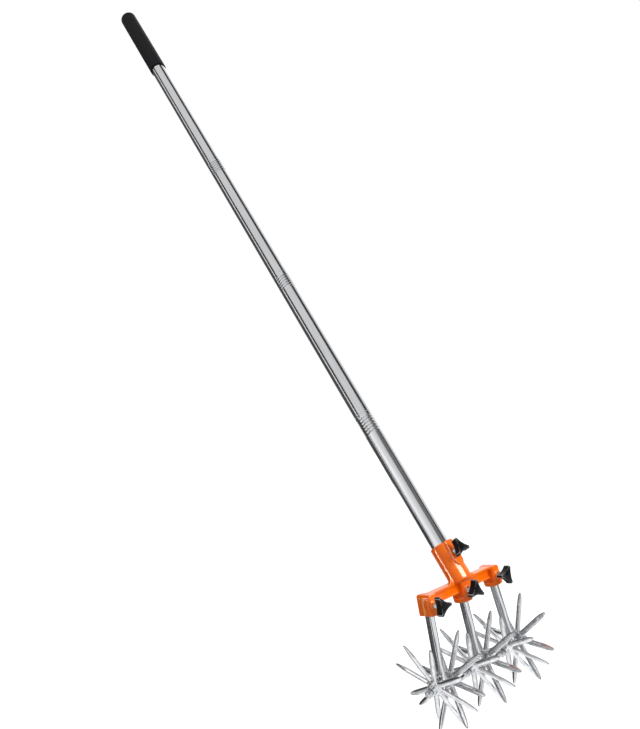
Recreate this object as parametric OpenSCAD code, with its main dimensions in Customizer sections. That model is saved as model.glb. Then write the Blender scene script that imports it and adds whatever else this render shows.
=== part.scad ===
// Rotary hand cultivator: a screwed tube pole with a rubber grip, a cast head on a leaning socket,
// and three tine units that clamp into the head, each with two leaning star wheels.
// +X runs along the crossbar, -Y is the front with the knobs, and +Z runs up the tine shanks.
// The origin is the middle of the grip.

/* [Pole] */
// Lean of the pole behind the tine shanks, in degrees
pole_lean = 25; // [15:1:32]
// Outside diameter of the pole's tubes
pole_od = 25; // [22:0.5:28]
// Wall of the tubes
pole_wall = 1.2; // [0.8:0.1:2]
// Length of tube that shows between two screw joints
section_len = 264; // [200:1:330]
// Length of the lowest tube from the socket's rim to the first joint
lower_len = 200; // [120:1:280]
// Length of the threaded spigot inside each joint
spigot_len = 32; // [20:1:45]
// Number of rolled thread rings at a joint
thread_rings = 6; // [3:1:9]
// Distance between two thread rings
thread_pitch = 4.5; // [4:0.25:7]
// Depth of the rolled thread
thread_depth = 0.5; // [0.2:0.1:0.7]

/* [Grip] */
// Thickness of the grip's rubber on the pole
grip_wall = 2.1; // [1.5:0.1:5]
// Length of the grip, with its round end
grip_len = 169; // [120:1:220]
// Thickness of the grip's closed end
grip_end = 5; // [3:0.5:9]
// Radius of the grip's round end
grip_edge = 5; // [2:0.5:7]

/* [Head casting] */
// Wall of the pole socket
socket_wall = 2; // [1.6:0.2:4]
// Outside length of the pole socket
socket_len = 50; // [46:1:56]
// Thickness of the socket's floor under the pole
socket_floor = 9; // [7:0.5:12]
// Radius of the socket's lower edge
socket_edge = 3; // [1:0.5:4]
// Height of the socket's rim above the middle collar
rim_z = 67.5; // [65:0.5:80]
// Set-back of the socket's rim behind the tine shanks
rim_y = 15.4; // [12:0.2:20]
// Distance between two tine shanks
tine_pitch = 60; // [58:0.5:70]
// Height of the crossbar's top above the middle collar
bar_top = 25.2; // [24.5:0.1:29]
// Front to back depth of the crossbar's top flange
flange_d = 12.6; // [11:0.2:17]
// Thickness of the top flange
flange_t = 2.8; // [2:0.1:5]
// Radius of the curves between the flange and the bosses
flange_curve = 4.4; // [2:0.2:6]
// Thickness of the crossbar's upright web
web_t = 7; // [4:0.5:8]
// Height of the web under the flange
web_h = 11; // [8:0.5:14]
// Front to back depth of the bead along the web's lower edge
bead_d = 9; // [8:0.5:11]
// Height of the bead
bead_h = 2; // [1:0.5:4]
// Width of a tine boss along the crossbar
boss_w = 14.4; // [13.5:0.2:18]
// Front to back depth of a tine boss
boss_d = 22; // [19:0.5:26]
// Radius of a boss's upright edges
boss_edge = 3; // [1:0.5:4]
// Radius of a boss's top and bottom edges
boss_round = 2; // [1:0.5:2.5]
// Height of the end bosses above the crossbar
end_rise = 0.6; // [0:0.2:4]
// Radius of the end bosses' upper corners
end_round = 5; // [2:0.5:6]
// Height of the end collars above the middle collar
end_lift = 1.8; // [0:0.2:3]
// Diameter of the collar under a boss
collar_od = 23; // [20:0.5:27]
// Height of the collar
collar_h = 5; // [3:0.5:6]
// Width of the parting groove down the crossbar's ends
part_line = 1.2; // [0.6:0.1:1.6]
// Diameter of the round pad where a clamp screw enters a boss
pad_od = 11; // [9:0.5:13]
// Height of the pad
pad_h = 2; // [1:0.5:4]
// Thickness of the fins beside the pole socket
fin_t = 5; // [4:0.5:8]
// Reach of the fins beyond the socket
fin_reach = 1.4; // [1:0.2:4]
// Distance of the fins' tops below the socket's rim
fin_drop = 3.4; // [1:0.2:8]
// Radius of the curve from a fin into the crossbar
fin_curve = 11; // [6:0.5:13]
// Width of the flat rib on the socket's front
rib_w = 13; // [10:0.5:18]
// Height of the rib above the socket
rib_h = 2; // [1:0.2:4]
// Length of the rib below the pole screw
rib_tail = 10; // [8:0.5:16]

/* [Clamp screws] */
// Thread diameter of the clamp screws
screw_d = 6; // [5:0.5:7]
// Height of the tine screws above the middle collar
screw_z = 13.4; // [11.5:0.1:14.5]
// Distance of the pole screw below the socket's rim
pole_screw_drop = 16; // [12:0.5:20]
// Free length of stud between a boss and its knob
stud_gap = 6.5; // [4:0.5:10]
// Length of stud inside its knob
stud_in = 7; // [5:0.5:8]
// Radius from a knob's middle to the ends of its wings
knob_r = 12; // [11:0.5:15]
// Radius of a knob's waist between two wings
knob_waist = 5.4; // [5:0.2:6.4]
// Width of a wing at its end
wing_w = 4.6; // [3.4:0.2:5.4]
// Thickness of a knob
knob_t = 10.5; // [9.5:0.5:14]
// Drop of a knob's front from its middle to its wings
knob_crown = 2.2; // [1:0.1:3]
// Turn of the pole's knob, in degrees
pole_knob_turn = 100; // [0:1:119]
// Turn of the left tine knob, in degrees
left_knob_turn = 0; // [0:1:119]
// Turn of the middle tine knob, in degrees
middle_knob_turn = 80; // [0:1:119]
// Turn of the right tine knob, in degrees
right_knob_turn = 47; // [0:1:119]

/* [Tine units] */
// Outward lean of the two outer shanks, in degrees
tine_splay = 4.5; // [2:0.5:6]
// Width of a shank along the crossbar
shank_w = 8; // [7:0.2:9]
// Front to back depth of a shank
shank_d = 12; // [10:0.2:13]
// Chamfer along a shank's edges
shank_chamfer = 2.2; // [0.6:0.2:3]
// Length of shank from the middle collar to the middle of the axles
shank_len = 69; // [62:0.5:90]
// Length of shank inside the middle socket
shank_in = 19; // [17:0.5:20]
// Downward lean of the axles, in degrees
axle_lean = 22; // [18:0.5:23]
// Diameter of the shank's round foot
foot_od = 13; // [11:0.5:14]
// Reach of the foot along each axle
foot_reach = 7.2; // [7:0.1:8]
// Diameter of the axle pins
pin_d = 6; // [5:0.5:7]
// Step from a pin to its head
pin_step = 1; // [0.6:0.2:2.4]
// Length of a pin's head
pin_head_len = 6.6; // [4:0.2:9]
// Wall between the inner ends of two pins
pin_wall = 1; // [0.6:0.1:2]

/* [Star wheels] */
// Radius from the axle to the tips of the tines
wheel_r = 56; // [50:0.5:58]
// Number of tines on a wheel
tine_count = 8; // [6:1:8]
// Distance of the tines' middle plane from the shank, along the axle
wheel_offset = 12.7; // [12:0.1:14]
// Diameter of a wheel's hub among the tines
hub_od = 17; // [14:0.5:20]
// Height of the hub above the tines
hub_rise = 0.6; // [0.2:0.1:1.5]
// Diameter of a hub's outer collar
hub_collar_od = 12.4; // [11:0.2:15]
// Length of a hub's outer collar
hub_collar_len = 6; // [4:0.2:8]
// Width of a tine
tine_w = 7; // [5:0.2:7.6]
// Thickness of a tine at its ridge
tine_t = 4.6; // [3.6:0.2:5.4]
// Width of the flat along a tine's ridge
tine_flat = 2.4; // [1:0.2:4]
// Thickness of a tine's edges
tine_edge = 2; // [1:0.1:3]
// Thickness of a tine's tip
tine_tip = 1.8; // [1:0.1:3]
// Length of the pointed end of a tine
tine_point = 16; // [12:0.5:26]
// Turn of the wheels at rest, in degrees
wheel_turn = 20; // [0:0.5:45]
// Degrees by which the right wheels trail the left ones, so that the tines pass each other
wheel_lag = 15.5; // [14:0.5:31]

/* [Fits] */
// Gap all round a shank in its socket
shank_gap = 0.3; // [0.1:0.05:0.5]
// Radial gap of the pole in its socket
pole_gap = 0.1; // [0.05:0.05:0.3]
// Radial running gap of screws and wheels
run_gap = 0.05; // [0.02:0.01:0.1]
// Gap between faces that turn or press against each other
face_gap = 0.3; // [0.1:0.05:0.6]
// Gap between a screw's tip and what it clamps
tip_gap = 0.1; // [0.05:0.05:0.3]
// Radial gap of pieces that are pushed together for good
seat_gap = 0.02; // [0.01:0.01:0.05]

/* [Hidden] */
$fn = 64;
cut = 1;
chamfer = 0.8;
leaf_power = 0.5;
leaf_steps = 5;
groove_share = 0.32;
side_names = ["left", "middle", "right"];
end_names = ["left", "right"];
knob_turns = [left_knob_turn, middle_knob_turn, right_knob_turn];
pole_r = pole_od / 2;
socket_r = pole_r + pole_gap + socket_wall;
socket_depth = socket_len - socket_floor;
socket_front = socket_r + rib_h;
spigot_r = pole_r - pole_wall - seat_gap - thread_depth;
grip_r = pole_r + grip_wall;
grip_lip = grip_wall / 2;
upper_len = section_len + grip_len - grip_end;
grip_from = lower_len + 3 * section_len;
grip_mid = [
    0,
    rim_y + (grip_from + grip_len / 2) * sin(pole_lean),
    rim_z + (grip_from + grip_len / 2) * cos(pole_lean)
];
boss_front = boss_d / 2 + pad_h;
screw_r = screw_d / 2;
knob_cut_far = wing_cut_distance(knob_r, knob_waist, asin(wing_w / 2 / knob_r));
pin_r = pin_d / 2;
pin_head_r = pin_r + pin_step;
pin_from = pin_r * tan(axle_lean) + pin_wall / 2;
tine_step = 360 / tine_count;
hub_from = foot_reach + face_gap - wheel_offset;
hub_to = tine_t / 2 + hub_rise;
pin_seat = wheel_offset + hub_to + hub_collar_len + face_gap;

// Distance of the three cutting cylinders that leave wings with ends of one width
function wing_cut_distance(tip, waist, half) =
    (tip * tip - waist * waist) / (2 * (tip * cos(60 - half) - waist));

// Half width of a tine at a share of its pointed end, a rounded leaf shape
function leaf(share) = tine_w / 2 * pow(1 - share * share, leaf_power);

// Frame with its origin at the middle of the socket's rim and +Z along the pole
module pole_frame(up = 0) {
    translate([0, rim_y, rim_z] - grip_mid) rotate([-pole_lean, 0, 0]) translate([0, 0, up]) children();
}

// Frame of one tine unit, with its origin on the shank at the height of the middle collar
module tine_frame(side) {
    translate([side * tine_pitch, 0, 0] - grip_mid) rotate([0, -side * tine_splay, 0]) children();
}

// Frame of one axle, with its origin in the foot and +Z outward along the axle
module axle_frame(side, end) {
    tine_frame(side) translate([0, 0, -shank_len]) rotate([0, end * (90 + axle_lean), 0]) children();
}

module rounded_rect(w, d, r) {
    square([w - 2 * r, d], center = true);
    square([w, d - 2 * r], center = true);
    for (x = [-1, 1], y = [-1, 1]) translate([x * (w / 2 - r), y * (d / 2 - r)]) circle(r);
}

module shank_section(gap = 0) {
    w = shank_w / 2 + gap;
    d = shank_d / 2 + gap;
    c = shank_chamfer;
    polygon([
        [w - c, -d], [w, c - d], [w, d - c], [w - c, d],
        [c - w, d], [-w, d - c], [-w, c - d], [c - w, -d]
    ]);
}

// Outline of a tube's wall, with rolled rings below its upper end and a spigot below its lower end
module tube_section(len, spigot, rings) {
    ring_from = len - (thread_rings + 1 / 2) * thread_pitch;
    half = thread_pitch * groove_share;
    difference() {
        translate([pole_r - pole_wall, 0]) square([pole_wall, len]);
        if (rings)
            for (i = [0:thread_rings - 1])
                translate([pole_r, ring_from + i * thread_pitch])
                    polygon([[-thread_depth, 0], [0, -half], [cut, -half], [cut, half], [0, half]]);
    }
    if (spigot > 0) {
        translate([spigot_r - pole_wall, -spigot]) square([pole_wall, spigot + pole_wall]);
        translate([spigot_r - pole_wall, 0]) square([pole_r - spigot_r + pole_wall, pole_wall]);
    }
}

module tube(from, len, spigot, rings) {
    color("silver") pole_frame(from) rotate_extrude() tube_section(len, spigot, rings);
}

module pole_lower() { tube(face_gap - socket_depth, socket_depth - face_gap + lower_len, 0, true); }
module pole_second() { tube(lower_len + seat_gap, section_len - seat_gap, spigot_len, true); }
module pole_third() { tube(lower_len + section_len + seat_gap, section_len - seat_gap, spigot_len, true); }
module pole_upper() {
    tube(lower_len + 2 * section_len + seat_gap, upper_len - seat_gap, spigot_len, false);
}

module grip() {
    color("#242426") pole_frame(grip_from) rotate_extrude() difference() {
        union() {
            square([grip_r - grip_lip, grip_len - grip_edge]);
            translate([0, grip_lip]) square([grip_r, grip_len - grip_edge - grip_lip]);
            square([grip_r - grip_edge, grip_len]);
            translate([grip_r - grip_lip, grip_lip]) circle(grip_lip);
            translate([grip_r - grip_edge, grip_len - grip_edge]) circle(grip_edge);
        }
        translate([0, -cut]) square([pole_r + seat_gap, grip_len - grip_end + seat_gap + cut]);
        translate([-grip_r, -cut]) square([grip_r, grip_len + 2 * cut]);
    }
}

// The pole socket's outside, with its fins, cut off level with the underside of the flange
module socket_body() {
    difference() {
        union() {
            pole_frame(-socket_len) rotate_extrude() {
                translate([0, socket_edge]) square([socket_r, socket_len - socket_edge]);
                square([socket_r - socket_edge, socket_len]);
                intersection() {
                    translate([socket_r - socket_edge, socket_edge]) circle(socket_edge);
                    square([socket_r, socket_len]);
                }
            }
            pole_frame() rotate([90, 0, 0]) linear_extrude(socket_front) rib_outline();
            difference() {
                pole_frame() rotate([90, 0, 0]) linear_extrude(fin_t, center = true) fin_outline();
                translate([-tine_pitch, -flange_d / 2 - tine_pitch, 0] - grip_mid)
                    cube([2 * tine_pitch, tine_pitch, rim_z]);
            }
        }
        translate([-tine_pitch, -tine_pitch, bar_top - flange_t - 2 * tine_pitch] - grip_mid)
            cube(2 * tine_pitch);
    }
}

module rib_outline() {
    translate([-rib_w / 2, -pole_screw_drop - rib_tail]) square([rib_w, pole_screw_drop + rib_tail]);
    translate([0, -pole_screw_drop - rib_tail]) circle(rib_w / 2);
}

// Both fins, with the curves that carry them out along the crossbar
module fin_outline() {
    edge = socket_r + fin_reach;
    foot = (bar_top - rim_z) / cos(pole_lean) - chamfer;
    translate([-edge, foot]) square([2 * edge, -foot - fin_drop]);
    difference() {
        translate([-edge - fin_curve, foot]) square([2 * (edge + fin_curve), fin_curve]);
        for (x = [-1, 1]) translate([x * (edge + fin_curve), foot + fin_curve]) circle(fin_curve);
    }
}

// The crossbar's flange, with a curve beside each boss
module flange_outline() {
    square([2 * tine_pitch, flange_d], center = true);
    intersection() {
        square([2 * tine_pitch, boss_d], center = true);
        difference() {
            for (side = [-1:1])
                translate([side * tine_pitch, 0])
                    square([boss_w + 2 * flange_curve, flange_d + 2 * flange_curve], center = true);
            for (side = [-1:1], x = [-1, 1], y = [-1, 1])
                translate([side * tine_pitch, 0])
                translate([x * (boss_w / 2 + flange_curve), y * (flange_d / 2 + flange_curve)])
                    circle(flange_curve);
        }
    }
}

module crossbar() {
    translate([0, 0, bar_top - flange_t] - grip_mid) linear_extrude(flange_t) flange_outline();
    translate([-tine_pitch, -web_t / 2, bar_top - flange_t - web_h] - grip_mid)
        cube([2 * tine_pitch, web_t, web_h + flange_t]);
    translate([-tine_pitch, -bead_d / 2, bar_top - flange_t - web_h] - grip_mid)
        cube([2 * tine_pitch, bead_d, bead_h]);
}

// One tine boss with its collar, which is cut flush with the end of the crossbar
module tine_boss(side) {
    from = side == 0 ? 0 : end_lift;
    height = bar_top - from + (side == 0 ? 0 : end_rise);
    top_round = side == 0 ? boss_round : end_round;
    tine_frame(side) translate([0, 0, from]) {
        difference() {
            intersection() {
                linear_extrude(height) rounded_rect(boss_w, boss_d, boss_edge);
                translate([0, 0, height / 2]) rotate([90, 0, 0])
                    linear_extrude(boss_d, center = true) rounded_rect(boss_w, height, boss_round);
                translate([0, 0, height / 2 - top_round]) rotate([90, 0, 0])
                    linear_extrude(boss_d, center = true)
                        rounded_rect(boss_w, height + 2 * top_round, top_round);
            }
            if (side != 0)
                translate([side * boss_w / 2, 0, height / 2]) rotate(45)
                    cube([part_line / sqrt(2), part_line / sqrt(2), height + 2 * cut], center = true);
        }
        difference() {
            cylinder(d = collar_od, h = collar_h);
            if (side != 0)
                translate([side * (boss_w / 2 - boss_round + collar_od / 2), 0, collar_h / 2])
                    cube([collar_od, 2 * collar_od, collar_h + 2 * cut], center = true);
        }
    }
    tine_screw_frame(side) cylinder(d = pad_od, h = boss_front);
}

module tine_socket(side) {
    tine_frame(side) translate([0, 0, -cut])
        linear_extrude(shank_in + face_gap + cut) shank_section(shank_gap);
    tine_screw_frame(side) cylinder(r = screw_r + run_gap, h = boss_front + cut);
}

module head_bracket() {
    color("#f0721e") difference() {
        union() {
            socket_body();
            crossbar();
            for (side = [-1:1]) tine_boss(side);
        }
        pole_frame(-socket_depth) cylinder(r = pole_r + pole_gap, h = socket_depth + cut);
        pole_screw_frame() cylinder(r = screw_r + run_gap, h = socket_front + cut);
        for (side = [-1:1]) tine_socket(side);
    }
}

// A three-winged knob, with its back on the plane z = 0 and its bore for the stud
module winged_knob() {
    color("#26262a") difference() {
        rotate_extrude() polygon([
            [0, 0], [knob_r - chamfer, 0], [knob_r, chamfer], [knob_r, knob_t - knob_crown - chamfer],
            [knob_r - chamfer, knob_t - knob_crown], [knob_waist / 2, knob_t], [0, knob_t]
        ]);
        for (a = [60, 180, 300])
            rotate(a) translate([knob_cut_far, 0, -cut])
                cylinder(r = knob_cut_far - knob_waist, h = knob_t + 2 * cut);
        translate([0, 0, -cut]) cylinder(r = screw_r + run_gap, h = stud_in + face_gap + cut);
    }
}

// A stud from its clamping tip to its end inside the knob
module clamp_stud(from, to) {
    color("#c8c9cc") rotate_extrude() polygon([
        [0, from + tip_gap], [screw_r - chamfer, from + tip_gap], [screw_r, from + tip_gap + chamfer],
        [screw_r, to + stud_in], [0, to + stud_in]
    ]);
}

module pole_screw_frame() { pole_frame(-pole_screw_drop) rotate([90, 0, 0]) children(); }
module tine_screw_frame(side) { tine_frame(side) translate([0, 0, screw_z]) rotate([90, 0, 0]) children(); }

module pole_knob() {
    pole_screw_frame() translate([0, 0, socket_front + stud_gap]) rotate(pole_knob_turn) winged_knob();
}
module pole_screw() { pole_screw_frame() clamp_stud(pole_r, socket_front + stud_gap); }

module tine_knob(side) {
    tine_screw_frame(side) translate([0, 0, boss_front + stud_gap])
        rotate(knob_turns[side + 1]) winged_knob();
}
module tine_screw(side) { tine_screw_frame(side) clamp_stud(shank_d / 2, boss_front + stud_gap); }

module tine_shank(side) {
    color("#cfd1d3") difference() {
        union() {
            tine_frame(side) translate([0, 0, -shank_len])
                linear_extrude(shank_len + shank_in) shank_section();
            tine_frame(side) translate([0, 0, -shank_len]) sphere(d = foot_od);
            for (end = [-1, 1]) axle_frame(side, end) cylinder(d = foot_od, h = foot_reach);
        }
        for (end = [-1, 1])
            axle_frame(side, end) translate([0, 0, pin_from - seat_gap])
                cylinder(r = pin_r + seat_gap, h = foot_reach);
    }
}

module axle_pin(side, end) {
    color("#b9bbbe") axle_frame(side, end) rotate_extrude() polygon([
        [0, pin_from], [pin_r, pin_from], [pin_r, pin_seat], [pin_head_r, pin_seat],
        [pin_head_r, pin_seat + pin_head_len - chamfer], [pin_head_r - chamfer, pin_seat + pin_head_len],
        [0, pin_seat + pin_head_len]
    ]);
}

// One tine along +X: a leaf outline, a ridged section and a thinner tip, all meeting in one blade
module tine() {
    point_from = wheel_r - tine_point;
    leaf_edge = [for (i = [0:leaf_steps]) [point_from + tine_point * i / leaf_steps, leaf(i / leaf_steps)]];
    intersection() {
        translate([0, 0, -tine_t / 2]) linear_extrude(tine_t) polygon(concat(
            [[pin_r, -tine_w / 2]],
            [for (p = leaf_edge) [p[0], -p[1]]],
            [for (i = [leaf_steps - 1:-1:0]) leaf_edge[i]],
            [[pin_r, tine_w / 2]]
        ));
        rotate([90, 0, 90]) linear_extrude(wheel_r) polygon([
            [-tine_w / 2, -tine_edge / 2], [-tine_flat / 2, -tine_t / 2], [tine_flat / 2, -tine_t / 2],
            [tine_w / 2, -tine_edge / 2], [tine_w / 2, tine_edge / 2], [tine_flat / 2, tine_t / 2],
            [-tine_flat / 2, tine_t / 2], [-tine_w / 2, tine_edge / 2]
        ]);
        rotate([90, 0, 0]) linear_extrude(2 * tine_w, center = true) polygon([
            [0, -tine_t / 2], [point_from, -tine_t / 2], [wheel_r, -tine_tip / 2],
            [wheel_r, tine_tip / 2], [point_from, tine_t / 2], [0, tine_t / 2]
        ]);
    }
}

// One wheel on its pin, turned so that its tines pass between those of the wheels beside it
module star_wheel(side, end) {
    turn = end < 0 ? wheel_turn : -wheel_turn - wheel_lag;
    color("#d4d6d8") axle_frame(side, end) translate([0, 0, wheel_offset]) rotate(turn) difference() {
        union() {
            for (i = [0:tine_count - 1]) rotate(i * tine_step) tine();
            translate([0, 0, hub_from]) cylinder(d = hub_od, h = hub_to - hub_from);
            translate([0, 0, hub_to]) cylinder(d = hub_collar_od, h = hub_collar_len);
        }
        translate([0, 0, hub_from - cut])
            cylinder(r = pin_r + run_gap, h = hub_to - hub_from + hub_collar_len + 2 * cut);
    }
}

grip();
pole_lower();
pole_second();
pole_third();
pole_upper();
head_bracket();
pole_knob();
pole_screw();
for (i = [0:2]) {
    s = side_names[i];
    tine_knob(i - 1);
    tine_screw(i - 1);
    tine_shank(i - 1);
    for (j = [0:1]) {
        e = end_names[j];
        star_wheel(i - 1, 2 * j - 1);
        axle_pin(i - 1, 2 * j - 1);
    }
}
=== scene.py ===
import math
from functools import partial

import bmesh
import bpy
import numpy as np
from mathutils import Matrix, Vector


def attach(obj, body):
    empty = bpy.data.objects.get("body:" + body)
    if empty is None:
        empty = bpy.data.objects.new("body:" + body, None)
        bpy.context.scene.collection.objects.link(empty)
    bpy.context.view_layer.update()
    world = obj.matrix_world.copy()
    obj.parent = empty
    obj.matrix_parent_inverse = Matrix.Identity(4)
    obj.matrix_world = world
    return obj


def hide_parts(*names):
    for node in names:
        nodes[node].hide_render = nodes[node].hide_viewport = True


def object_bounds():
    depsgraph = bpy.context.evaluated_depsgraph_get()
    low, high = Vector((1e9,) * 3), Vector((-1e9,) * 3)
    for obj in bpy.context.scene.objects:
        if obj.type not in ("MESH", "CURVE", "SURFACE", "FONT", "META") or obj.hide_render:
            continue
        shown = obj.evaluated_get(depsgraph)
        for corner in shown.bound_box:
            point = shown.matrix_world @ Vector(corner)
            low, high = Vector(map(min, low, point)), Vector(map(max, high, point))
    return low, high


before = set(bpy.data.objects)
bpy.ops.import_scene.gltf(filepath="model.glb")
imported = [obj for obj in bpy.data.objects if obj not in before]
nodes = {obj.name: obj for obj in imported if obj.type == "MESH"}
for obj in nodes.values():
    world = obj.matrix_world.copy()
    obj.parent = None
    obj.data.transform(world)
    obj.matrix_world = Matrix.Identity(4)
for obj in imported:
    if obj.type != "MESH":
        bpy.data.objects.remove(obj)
cadLow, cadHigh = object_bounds()
scene = bpy.context.scene
mm = 0.001  # pieces are drawn in millimetres and placed in metres
weldGap = 0.001  # points closer than this are one, in a mesh's own units
cadWeldGap = 0.002  # the same for the CAD meshes, in millimetres
print("frame loaded:", len(nodes), "nodes")

# places, taken from the pole's and the tines' own axes
pole = {
    "lean": 25,  # degrees back from upright
    "radius": 12.5,
    "wall": 1.2,
    "rim": (0, 15.4, 67.5),  # the socket's rim on the pole's axis, from the head's middle
    "gripMiddle": 1076.5,  # the row frame's origin, along the pole from the rim
    "screwDown": 16,  # the clamp's axis, below the rim
}
tineUnit = {
    "pitch": 60,
    "splay": 4.5,
    "axleDrop": 69,
    "axleLean": 22,
    "wheelOffset": 12.7,
    "screwHeight": 13.4,
}
sides = {"left": -1, "middle": 0, "right": 1}
ends = {"left": -1, "right": 1}


def moved(x=0, y=0, z=0):
    return Matrix.Translation((x * mm, y * mm, z * mm))


def turned(axis, degrees):
    return Matrix.Rotation(math.radians(degrees), 4, axis)


def poleFrame(up=0):
    return turned("X", -pole["lean"]) @ moved(z=up - pole["gripMiddle"])


rimX, rimY, rimZ = pole["rim"]
headFrame = Matrix.Translation(poleFrame().translation) @ moved(-rimX, -rimY, -rimZ)


def tineFrame(side):
    return headFrame @ moved(tineUnit["pitch"] * side) @ turned("Y", -side * tineUnit["splay"])


def axleFrame(side, end):
    return tineFrame(side) @ moved(z=-tineUnit["axleDrop"]) @ turned("Y", end * (90 + tineUnit["axleLean"]))


def poleScrewFrame():
    return poleFrame(-pole["screwDown"]) @ turned("X", 90)


def tineScrewFrame(side):
    return tineFrame(side) @ moved(z=tineUnit["screwHeight"]) @ turned("X", 90)


def linearColour(hexCode):
    # sRGB hex to the linear colour that a shader takes
    parts = [int(hexCode[i:i + 2], 16) / 255 for i in (1, 3, 5)]
    return tuple(p / 12.92 if p <= 0.04045 else ((p + 0.055) / 1.055) ** 2.4 for p in parts) + (1,)


def addNode(tree, kind, inputs=None, out=0, **settings):
    # a node with its settings; an input takes a value or another node's output, and one output comes back
    node = tree.nodes.new(kind)
    for name, value in settings.items():
        setattr(node, name, value)
    for name, value in (inputs or {}).items():
        if isinstance(value, bpy.types.NodeSocket):
            tree.links.new(value, node.inputs[name])
        else:
            node.inputs[name].default_value = value
    return node.outputs[out] if node.outputs else None


noiseNode, rangeNode, mixNode = "ShaderNodeTexNoise", "ShaderNodeMapRange", "ShaderNodeMix"
bumpNode, pointNode, paintNode = "ShaderNodeBump", "ShaderNodeAttribute", "ShaderNodeBsdfPrincipled"
mathNode, vectorNode = "ShaderNodeMath", "ShaderNodeVectorMath"


def newMaterial(name):
    material = bpy.data.materials.new(name)
    material.use_nodes = True
    material.node_tree.nodes.clear()
    return material, partial(addNode, material.node_tree)


def makeEnamelledCasting():
    # glossy orange enamel on a rough casting: soft orange peel, paler over edges, partly where the paint runs thin
    # and partly as a painted highlight
    material, add = newMaterial("enamelledCasting")
    spot = add("ShaderNodeTexCoord", out="Object")
    cloud = add(noiseNode, {"Vector": spot, "Scale": 45, "Detail": 4})  # 22 mm clouds
    cloud = add(rangeNode, {"Value": cloud, "From Min": 0.3, "From Max": 0.7})
    body = add(mixNode, {0: cloud, 6: linearColour("#E86003"), 7: linearColour("#F06E06")}, 2, data_type="RGBA")
    # paler along convex edges: thin paint, and a painted highlight where the rounded edges catch the light
    thin = add(pointNode, out="Fac", attribute_name="edge")
    thin = add(rangeNode, {"Value": thin, "From Min": 0.25, "From Max": 0.9, "To Max": 0.55})
    body = add(mixNode, {0: thin, 6: body, 7: linearColour("#FF9C42")}, 2, data_type="RGBA")
    specks = add(noiseNode, {"Vector": spot, "Scale": 900, "Detail": 2})  # 1 mm specks in the paint
    specks = add(rangeNode, {"Value": specks, "From Min": 0.72, "From Max": 0.8, "To Max": 0.35})
    body = add(mixNode, {0: specks, 6: body, 7: linearColour("#CC4C04")}, 2, data_type="RGBA")
    # painted highlight: the part line's ridge painted pale orange
    line = add(pointNode, out="Fac", attribute_name="partLineHighlight")
    line = add(rangeNode, {"Value": line, "From Min": 0.2, "From Max": 0.8})
    body = add(mixNode, {0: line, 6: body, 7: linearColour("#FFAA58")}, 2, data_type="RGBA")
    gloss = add(noiseNode, {"Vector": spot, "Scale": 160, "Detail": 5, "Roughness": 0.6})
    gloss = add(rangeNode, {"Value": gloss, "From Min": 0.3, "From Max": 0.75, "To Min": 0.12, "To Max": 0.22})
    peel = add(noiseNode, {"Vector": spot, "Scale": 520, "Detail": 2})  # 2 mm orange peel
    peel = add(bumpNode, {"Height": peel, "Strength": 0.1, "Distance": 0.25 * mm})
    skin = add(noiseNode, {"Vector": spot, "Scale": 140, "Detail": 3})  # 7 mm swells of the sand mould
    skin = add(bumpNode, {"Height": skin, "Strength": 0.07, "Distance": 0.6 * mm, "Normal": peel})
    paint = add(paintNode, {"Base Color": body, "Roughness": gloss, "Normal": skin, "Specular IOR Level": 0.14,
                            "Coat Weight": 0.12, "Coat Roughness": 0.05})
    add("ShaderNodeOutputMaterial", {"Surface": paint})
    return material


def makeDrawnStainless():
    # polished drawn tube: bright, with draw lines that follow the pole, 0.7 mm wide so that they show;
    # the threads' roots are painted dark, as painted shade in the grooves
    material, add = newMaterial("drawnStainless")
    spot = add("ShaderNodeTexCoord", out="Object")
    lean = (math.radians(-pole["lean"]), 0, 0)
    along = add("ShaderNodeMapping", {"Vector": spot, "Rotation": lean, "Scale": (1, 1, 80)}, vector_type="TEXTURE")
    lines = add(noiseNode, {"Vector": along, "Scale": 1400, "Detail": 3, "Roughness": 0.6})
    bright = add(rangeNode, {"Value": lines, "From Min": 0.35, "From Max": 0.65})
    tone = add(mixNode, {0: bright, 6: linearColour("#BFC0C3"), 7: linearColour("#D6D7D9")}, 2,
               data_type="RGBA")
    cloud = add(noiseNode, {"Vector": spot, "Scale": 14, "Detail": 3})
    cloud = add(rangeNode, {"Value": cloud, "From Min": 0.3, "From Max": 0.7, "To Max": 0.3})
    tone = add(mixNode, {0: cloud, 6: tone, 7: linearColour("#C6C6C8")}, 2, data_type="RGBA")
    # painted shade: darker in the threads' roots
    paintedRootShade = add(pointNode, out="Fac", attribute_name="groove")
    paintedRootShade = add(rangeNode, {"Value": paintedRootShade, "From Min": 0.45, "To Max": 0.5})
    tone = add(mixNode, {0: paintedRootShade, 6: tone, 7: linearColour("#4A4B4E")}, 2, data_type="RGBA")
    polish = add(rangeNode, {"Value": lines, "From Min": 0.3, "From Max": 0.7, "To Min": 0.1, "To Max": 0.2})
    drawn = add(bumpNode, {"Height": lines, "Strength": 0.05, "Distance": 0.03 * mm})
    paint = add(paintNode, {"Base Color": tone, "Roughness": polish, "Normal": drawn, "Metallic": 1.0})
    add("ShaderNodeOutputMaterial", {"Surface": paint})
    return material


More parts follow.
